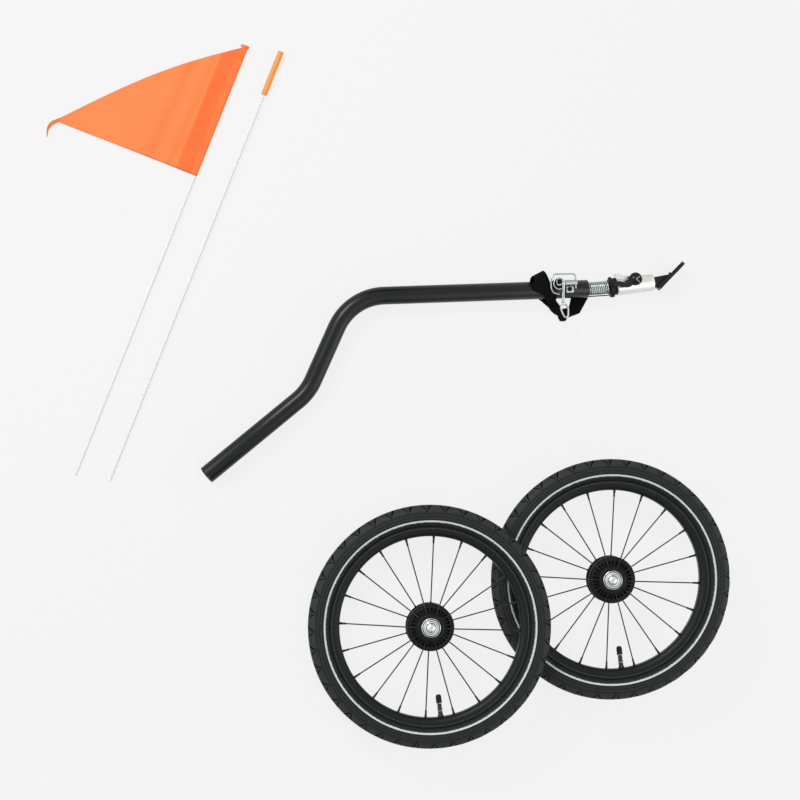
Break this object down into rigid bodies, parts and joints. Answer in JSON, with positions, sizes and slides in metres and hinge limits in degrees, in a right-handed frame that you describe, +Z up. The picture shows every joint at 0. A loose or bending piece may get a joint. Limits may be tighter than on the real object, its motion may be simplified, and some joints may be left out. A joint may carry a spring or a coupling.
{
  "type": "bicycle kit of a child trailer",
  "caption": "Bent tube drawbar with sprung hitch, lock pin and safety strap, spoked quick-release wheels with tyres, and an orange pennant on a split rod, laid out flat.",
  "frame": {"origin": "on the floor that the kit lies on, under the centre of its outline", "axes": "+Z up from the floor, +Y towards the top of the layout (the flag's top), +X towards the right wheel and the hitch's plate"},
  "size_m": [1.0822, 1.1056, 0.089],
  "materials": {
    "tyre_rubber": "moulded, matt",
    "butyl_rubber": "smooth, talced",
    "strap_rubber": "moulded, satin",
    "rim_tape": "woven",
    "black_rim": "anodised black",
    "black_hub": "moulded, satin",
    "bearing_steel": "ground",
    "chromed_cap": "satin chrome",
    "bright_zinc": "zinc plated",
    "turned_aluminium": "turned",
    "black_powder_coat": "satin black powder coat",
    "black_nylon": "moulded",
    "black_webbing": "woven polyester",
    "white_fibreglass": "drawn rod",
    "orange_sleeve": "extruded",
    "orange_cloth": "coated cloth"
  },
  "bodies": {
    "drawbar": {"drawbar_tube": "black_powder_coat", "tube_plug": "black_nylon", "saddle_washer": "bright_zinc", "plug_screw": "black_nylon", "anchor_boss": "black_nylon", "anchor_screw": "black_nylon", "safety_strap": "black_webbing", "coupling_spring": "bright_zinc", "safety_band": "black_webbing"},
    "flex_core": {"flex_link": "bright_zinc"},
    "head": {"head_collar": "black_nylon", "hitch_housing": "turned_aluminium", "pin_strap": "strap_rubber"},
    "pin": {"lock_pin": "bright_zinc", "pin_knob": "black_nylon", "pin_clip": "bright_zinc"},
    "bracket": {"hitch_bracket": "black_powder_coat"},
    "ring": {"ring_pin": "bright_zinc"},
    "bail": {"wire_bail": "bright_zinc"},
    "hook": {"snap_hook": "bright_zinc"},
    "gate": {"snap_gate": "bright_zinc"},
    "swivel": {"snap_swivel": "bright_zinc"},
    "left_axle": {"axle_left": "bright_zinc", "axle_cap_left": "chromed_cap", "button_spring_left": "bright_zinc"},
    "left_wheel": {"tyre_left": "tyre_rubber", "inner_tube_left": "butyl_rubber", "valve_cap_left": "black_nylon", "rim_left": "black_rim", "rim_tape_left": "rim_tape", "hub_front_left": "black_hub", "hub_rear_left": "black_hub", "hub_barrel_left": "black_hub", "bearing_outer_left": "bearing_steel", "bearing_inner_left": "bearing_steel"},
    "left_button": {"release_button_left": "chromed_cap"},
    "left_ball_a": {"lock_ball_left_a": "bearing_steel"},
    "left_ball_b": {"lock_ball_left_b": "bearing_steel"},
    "right_axle": {"axle_right": "bright_zinc", "axle_cap_right": "chromed_cap", "button_spring_right": "bright_zinc"},
    "right_wheel": {"tyre_right": "tyre_rubber", "inner_tube_right": "butyl_rubber", "valve_cap_right": "black_nylon", "rim_right": "black_rim", "rim_tape_right": "rim_tape", "hub_front_right": "black_hub", "hub_rear_right": "black_hub", "hub_barrel_right": "black_hub", "bearing_outer_right": "bearing_steel", "bearing_inner_right": "bearing_steel"},
    "right_button": {"release_button_right": "chromed_cap"},
    "right_ball_a": {"lock_ball_right_a": "bearing_steel"},
    "right_ball_b": {"lock_ball_right_b": "bearing_steel"},
    "flag_rod": {"upper_rod": "white_fibreglass"},
    "flag": {"pennant": "orange_cloth"},
    "foot_rod": {"lower_rod": "white_fibreglass", "joining_sleeve": "orange_sleeve"}
  },
  "joints": [
    {"name": "head_yaw", "type": "hinge", "parent": "drawbar", "child": "flex_core", "pos_m": [0.33519, 0.17596, 0.01678], "axis": [-0.0039, -0.0002, 1], "range_deg": [-35, 35], "stiffness_Nm_per_rad": 20, "deforming": ["coupling_spring", "safety_band"]},
    {"name": "head_pitch", "type": "hinge", "parent": "flex_core", "child": "head", "pos_m": [0.34661, 0.17727, 0.01683], "axis": [-0.1141, 0.9935, -0.0003], "range_deg": [-20, 20], "stiffness_Nm_per_rad": 20, "deforming": ["coupling_spring", "safety_band"]},
    {"name": "lock_pin_pull", "type": "slide", "parent": "head", "child": "pin", "axis": [-0.0039, -0.0002, 1], "range_m": [0, 0.03], "deforming": ["pin_strap"]},
    {"name": "bracket_swivel", "type": "hinge", "parent": "head", "child": "bracket", "pos_m": [0.40473, 0.18394, 0.01706], "axis": [0.9935, 0.1141, 0.0039], "continuous": true},
    {"name": "ring_pin_turn", "type": "hinge", "parent": "drawbar", "child": "ring", "pos_m": [0.26717, 0.18537, 0.03652], "axis": [-0.0039, -0.0002, 1], "range_deg": [-4, 6]},
    {"name": "bail_lift", "type": "hinge", "parent": "ring", "child": "bail", "pos_m": [0.29473, 0.1845, 0.03583], "axis": [-0.041, 0.9992, 0], "range_deg": [0, 100]},
    {"name": "hook_turn", "type": "hinge", "parent": "drawbar", "child": "hook", "pos_m": [0.26717, 0.18537, 0.03652], "axis": [-0.0039, -0.0002, 1], "range_deg": [-5, 4]},
    {"name": "gate_open", "type": "hinge", "parent": "hook", "child": "gate", "pos_m": [0.26194, 0.18301, 0.04104], "axis": [0.0047, -0.2079, 0.9781], "range_deg": [-20, 0], "stiffness_Nm_per_rad": 0.02},
    {"name": "swivel_turn", "type": "hinge", "parent": "hook", "child": "swivel", "pos_m": [0.27447, 0.15141, 0.03426], "axis": [-0.0409, 0.9773, 0.2079], "range_deg": [-10, 10]},
    {"name": "left_wheel_lift", "type": "slide", "parent": "drawbar", "child": "left_axle", "axis": [0, 0, 1], "range_m": [0, 0.15]},
    {"name": "left_wheel_spin", "type": "hinge", "parent": "left_axle", "child": "left_wheel", "pos_m": [0.0532, -0.3612, 0.0446], "axis": [-0.1426, 0, 0.9898], "continuous": true},
    {"name": "left_button_press", "type": "slide", "parent": "left_axle", "child": "left_button", "axis": [0.1426, 0, -0.9898], "range_m": [0, 0.004], "stiffness_N_per_m": 600, "springref_m": -0.003, "deforming": ["button_spring_left"]},
    {"name": "left_ball_a_draw", "type": "slide", "parent": "left_axle", "child": "left_ball_a", "axis": [0, -1, 0], "range_m": [0, 0.0008]},
    {"name": "left_ball_b_draw", "type": "slide", "parent": "left_axle", "child": "left_ball_b", "axis": [0, 1, 0], "range_m": [0, 0.0008]},
    {"name": "right_wheel_draw", "type": "slide", "parent": "drawbar", "child": "right_axle", "axis": [1, 0, 0], "range_m": [0, 0.45]},
    {"name": "right_wheel_spin", "type": "hinge", "parent": "right_axle", "child": "right_wheel", "pos_m": [0.3502, -0.2905, 0.0446], "axis": [-0.1426, 0, 0.9898], "continuous": true},
    {"name": "right_button_press", "type": "slide", "parent": "right_axle", "child": "right_button", "axis": [0.1426, 0, -0.9898], "range_m": [0, 0.004], "stiffness_N_per_m": 600, "springref_m": -0.003, "deforming": ["button_spring_right"]},
    {"name": "right_ball_a_draw", "type": "slide", "parent": "right_axle", "child": "right_ball_a", "axis": [0, -1, 0], "range_m": [0, 0.0008]},
    {"name": "right_ball_b_draw", "type": "slide", "parent": "right_axle", "child": "right_ball_b", "axis": [0, 1, 0], "range_m": [0, 0.0008]},
    {"name": "upper_rod_lift", "type": "slide", "parent": "drawbar", "child": "flag_rod", "axis": [0, 0, 1], "range_m": [0, 0.12]},
    {"name": "pennant_turn", "type": "hinge", "parent": "flag_rod", "child": "flag", "pos_m": [-0.5008, -0.1201, 0.0022], "axis": [0.3713, 0.9285, 0.0019], "range_deg": [0, 150]},
    {"name": "lower_rod_lift", "type": "slide", "parent": "drawbar", "child": "foot_rod", "axis": [0, 0, 1], "range_m": [0, 0.12]}
  ],
  "couplings": [
    {"joint": "left_ball_a_draw", "follows": "left_button_press", "ratio": 0.2},
    {"joint": "left_ball_b_draw", "follows": "left_button_press", "ratio": 0.2},
    {"joint": "right_ball_a_draw", "follows": "right_button_press", "ratio": 0.2},
    {"joint": "right_ball_b_draw", "follows": "right_button_press", "ratio": 0.2}
  ]
}
